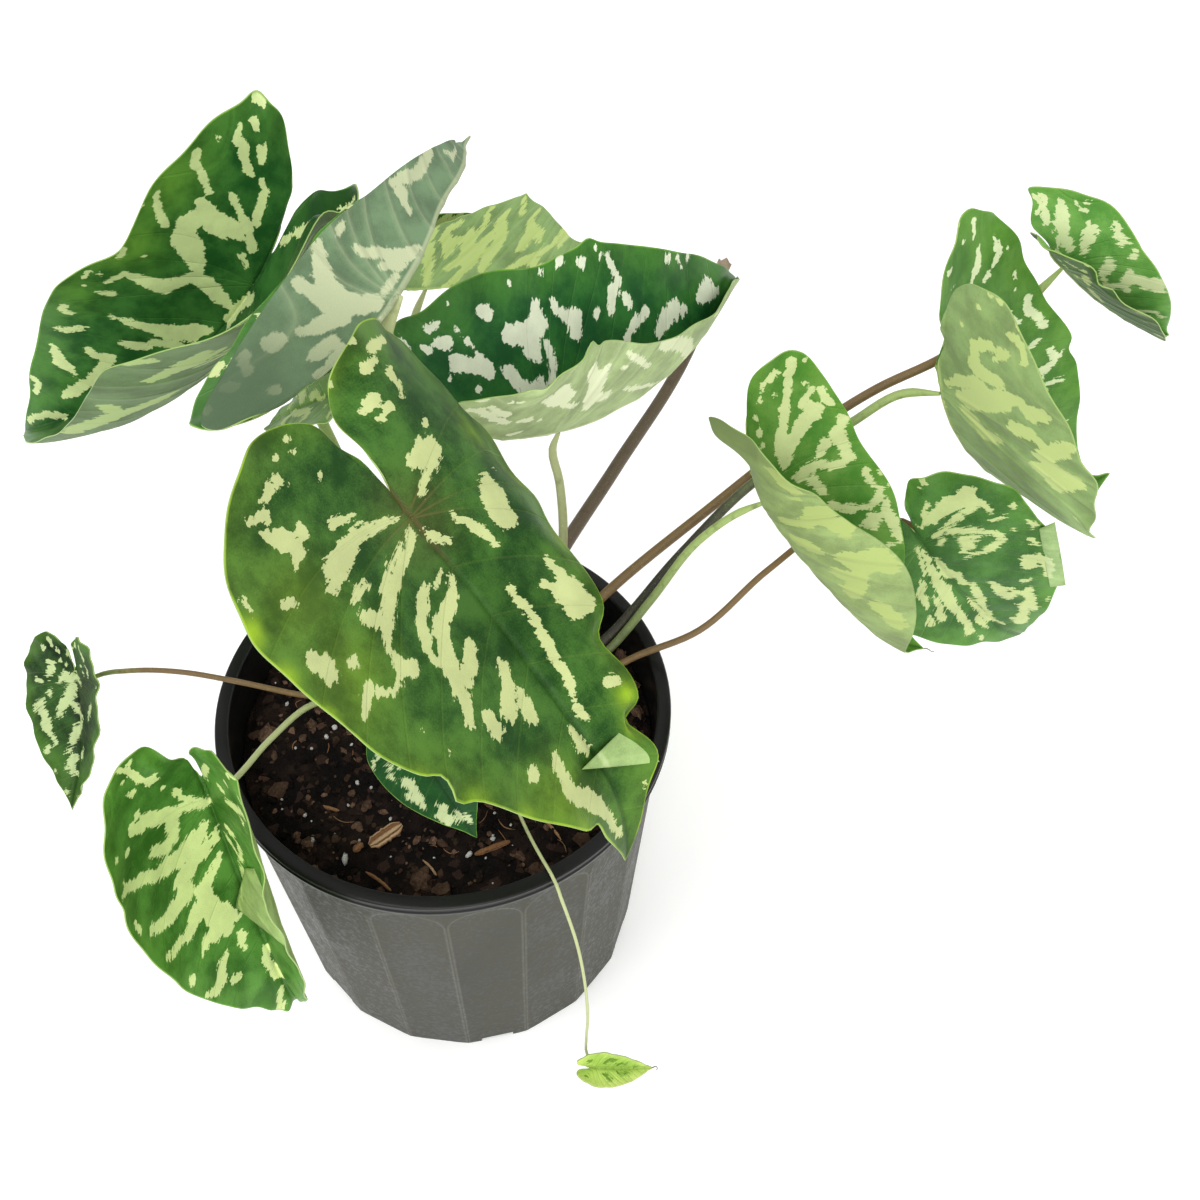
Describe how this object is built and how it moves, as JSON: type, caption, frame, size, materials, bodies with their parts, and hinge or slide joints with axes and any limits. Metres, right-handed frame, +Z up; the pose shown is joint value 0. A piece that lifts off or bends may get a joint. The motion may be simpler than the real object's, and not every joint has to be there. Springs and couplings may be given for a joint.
{
  "type": "potted plant",
  "caption": "Potted alocasia with heart-shaped camouflage-variegated leaves on long petioles rising from one crown, in a black plastic nursery pot with flat arched panels.",
  "frame": {"origin": "centre of the pot's flat underside, on the surface it stands on", "axes": "+Z up along the pot's axis, +X to the right of the front view, +Y to the back"},
  "size_m": [0.5681, 0.3742, 0.4043],
  "materials": {
    "pot_plastic": "dusty black moulded plastic",
    "potting_mix": "damp bark and perlite mix",
    "crown_bark": "fibrous, ringed",
    "blade": "dark green leaf with pale yellow-green patches, paler underneath",
    "petiole_green": "smooth pale green stalk",
    "petiole_brown": "smooth brown stalk"
  },
  "bodies": {
    "root": {"pot": "pot_plastic", "potting_mix": "potting_mix", "crown": "crown_bark", "blade_front": "blade", "petiole_front": "petiole_brown", "blade_left": "blade", "petiole_left": "petiole_brown", "blade_centre_folded": "blade", "petiole_centre_folded": "petiole_green", "blade_back": "blade", "petiole_back": "petiole_green", "blade_centre": "blade", "petiole_centre": "petiole_green", "blade_right_folded": "blade", "petiole_right_folded": "petiole_brown", "blade_right_low": "blade", "petiole_right_low": "petiole_brown", "blade_right_far": "blade", "petiole_right_far": "petiole_brown", "blade_right_top": "blade", "petiole_right_top": "petiole_brown", "blade_small_left": "blade", "petiole_small_left": "petiole_brown", "blade_low_left": "blade", "petiole_low_left": "petiole_green", "blade_under_front": "blade", "petiole_under_front": "petiole_green", "blade_hanging": "blade", "petiole_hanging": "petiole_green", "blade_behind_front": "blade", "petiole_behind_front": "petiole_green", "cut_petiole": "petiole_brown"}
  },
  "joints": []
}
